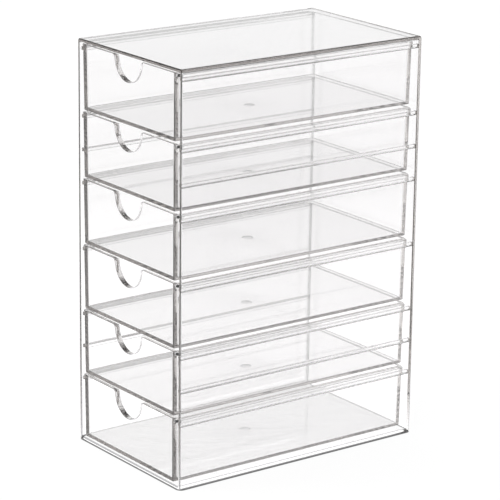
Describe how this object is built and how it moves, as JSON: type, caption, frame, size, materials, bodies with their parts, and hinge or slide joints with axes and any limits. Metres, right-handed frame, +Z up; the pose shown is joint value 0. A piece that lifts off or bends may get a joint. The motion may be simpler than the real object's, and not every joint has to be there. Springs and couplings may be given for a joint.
{
  "type": "desktop drawer organizer",
  "caption": "Tall clear plastic desk organizer: an open-fronted case with moulded rails and a stack of shallow pull-out drawers with half-round finger notches.",
  "frame": {"origin": "middle of the underside, between the drawers' fronts and the case's back, where it stands on the desk", "axes": "+Z up, -Y towards the user, the way the drawers pull out, +X to the right of someone facing the front"},
  "size_m": [0.1064, 0.175, 0.25],
  "materials": {
    "clear_case": "clear moulded polystyrene, polished",
    "clear_drawer": "clear moulded polystyrene, polished"
  },
  "bodies": {
    "case": {"case": "clear_case"},
    "drawer_1": {"drawer_1": "clear_drawer"},
    "drawer_2": {"drawer_2": "clear_drawer"},
    "drawer_3": {"drawer_3": "clear_drawer"},
    "drawer_4": {"drawer_4": "clear_drawer"},
    "drawer_5": {"drawer_5": "clear_drawer"},
    "drawer_6": {"drawer_6": "clear_drawer"}
  },
  "joints": [
    {"name": "drawer_1_slide", "type": "slide", "parent": "case", "child": "drawer_1", "axis": [0, -1, 0], "range_m": [0, 0.15]},
    {"name": "drawer_2_slide", "type": "slide", "parent": "case", "child": "drawer_2", "axis": [0, -1, 0], "range_m": [0, 0.15]},
    {"name": "drawer_3_slide", "type": "slide", "parent": "case", "child": "drawer_3", "axis": [0, -1, 0], "range_m": [0, 0.15]},
    {"name": "drawer_4_slide", "type": "slide", "parent": "case", "child": "drawer_4", "axis": [0, -1, 0], "range_m": [0, 0.15]},
    {"name": "drawer_5_slide", "type": "slide", "parent": "case", "child": "drawer_5", "axis": [0, -1, 0], "range_m": [0, 0.15]},
    {"name": "drawer_6_slide", "type": "slide", "parent": "case", "child": "drawer_6", "axis": [0, -1, 0], "range_m": [0, 0.15]}
  ]
}
